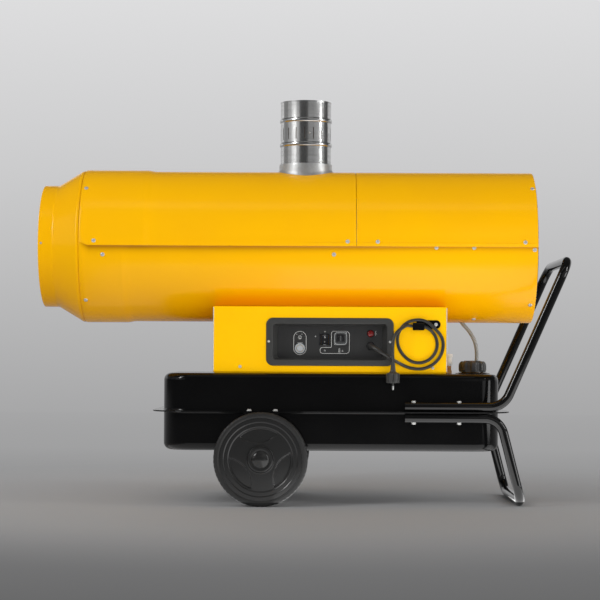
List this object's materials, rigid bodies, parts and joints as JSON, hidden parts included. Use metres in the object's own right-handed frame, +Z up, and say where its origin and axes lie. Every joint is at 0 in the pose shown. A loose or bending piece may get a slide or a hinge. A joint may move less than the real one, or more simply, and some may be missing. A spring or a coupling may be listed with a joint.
{
  "type": "indirect fired heater",
  "caption": "Wheeled oil-fired hot air heater: a yellow barrel with flue stack and hose collar on a control box and a black fuel tank with push handle, support leg and hung mains cord",
  "frame": {"origin": "on the floor, under the middle of the whole heater", "axes": "+X from the hot air collar to the push handle, +Y from the control panel side to the far side, +Z up"},
  "size_m": [1.528, 0.625, 1.171],
  "materials": {
    "yellow_paint": "gloss yellow powder coat",
    "black_gloss_paint": "gloss black powder coat",
    "heat_steel": "heat-resisting sheet, mill finish",
    "galvanised": "galvanised sheet",
    "stainless": "bright rolled stainless sheet",
    "bright_steel": "bright steel",
    "cast_alloy": "die-cast alloy",
    "motor_paint": "semi-gloss grey paint",
    "brass": "turned brass",
    "black_plastic": "finely textured black moulding",
    "dark_plastic": "dark grey moulding",
    "clear_grey": "smooth light grey moulding",
    "white_plastic": "white moulding",
    "red_lens": "red lens",
    "black_rubber": "black rubber",
    "grey_hose": "grey braided hose",
    "tyre": "solid rubber tyre"
  },
  "bodies": {
    "chassis": {"outlet_cone": "yellow_paint", "casing_lower": "yellow_paint", "casing_upper_front": "yellow_paint", "casing_upper_rear": "yellow_paint", "combustion_chamber": "heat_steel", "heat_exchanger": "heat_steel", "exchanger_saddle": "galvanised", "flue_spigot": "galvanised", "flue_collar": "galvanised", "flue_pipe": "stainless", "burner_tube": "heat_steel", "burner_nozzle": "brass", "fan_motor": "motor_paint", "motor_bracket": "galvanised", "fuel_pump": "cast_alloy", "inlet_guard": "black_gloss_paint", "box_base": "yellow_paint", "box_front": "yellow_paint", "box_rear": "yellow_paint", "box_end_left": "yellow_paint", "box_end_right": "yellow_paint", "control_panel": "black_plastic", "reset_collar": "clear_grey", "switch_frame": "black_plastic", "thermostat_socket": "clear_grey", "warning_lamp": "red_lens", "cable_gland": "black_plastic", "cord_lead": "black_rubber", "cord_coil": "black_rubber", "cord_tail": "black_rubber", "mains_plug": "black_rubber", "cord_strap": "black_rubber", "control_unit": "black_plastic", "ignition_transformer": "cast_alloy", "tank_upper": "black_gloss_paint", "tank_lower": "black_gloss_paint", "filler_neck": "black_gloss_paint", "filler_strainer": "bright_steel", "fuel_hose": "grey_hose", "fuel_filter": "white_plastic", "filter_fitting": "brass", "axle": "bright_steel", "axle_hanger_near": "black_gloss_paint", "axle_hanger_far": "black_gloss_paint", "push_handle": "black_gloss_paint", "support_leg": "black_gloss_paint"},
    "fan": {"fan_rotor": "cast_alloy", "motor_shaft": "bright_steel"},
    "near_wheel": {"wheel_near": "dark_plastic", "tyre_near": "tyre", "hub_cap_near": "dark_plastic"},
    "far_wheel": {"wheel_far": "dark_plastic", "tyre_far": "tyre", "hub_cap_far": "dark_plastic"},
    "rocker": {"switch_rocker": "black_plastic"},
    "reset": {"reset_button": "clear_grey"},
    "bridge_plug": {"thermostat_plug": "black_plastic"},
    "cap_core": {"filler_cap_core": "black_plastic"},
    "cap_grip": {"filler_cap": "black_plastic"}
  },
  "joints": [
    {"name": "fan_spin", "type": "hinge", "parent": "chassis", "child": "fan", "pos_m": [0.612, 0, 0.743], "axis": [1, 0, 0], "continuous": true},
    {"name": "near_wheel_roll", "type": "hinge", "parent": "chassis", "child": "near_wheel", "pos_m": [-0.117, -0.284, 0.1325], "axis": [0, 1, 0], "continuous": true},
    {"name": "far_wheel_roll", "type": "hinge", "parent": "chassis", "child": "far_wheel", "pos_m": [-0.117, 0.284, 0.1325], "axis": [0, 1, 0], "continuous": true},
    {"name": "switch_rock", "type": "hinge", "parent": "chassis", "child": "rocker", "pos_m": [0.0617, -0.169, 0.469], "axis": [1, 0, 0], "range_deg": [0, 20]},
    {"name": "reset_press", "type": "slide", "parent": "chassis", "child": "reset", "axis": [0, 1, 0], "range_m": [0, 0.003], "stiffness_N_per_m": 300},
    {"name": "bridge_plug_pull", "type": "slide", "parent": "chassis", "child": "bridge_plug", "axis": [0, -1, 0], "range_m": [0, 0.018]},
    {"name": "cap_lift", "type": "slide", "parent": "chassis", "child": "cap_core", "axis": [0, 0, 1], "range_m": [0, 0.06]},
    {"name": "cap_turn", "type": "hinge", "parent": "cap_core", "child": "cap_grip", "pos_m": [0.49, -0.1, 0.395], "axis": [0, 0, 1], "range_deg": [-90, 0]}
  ]
}
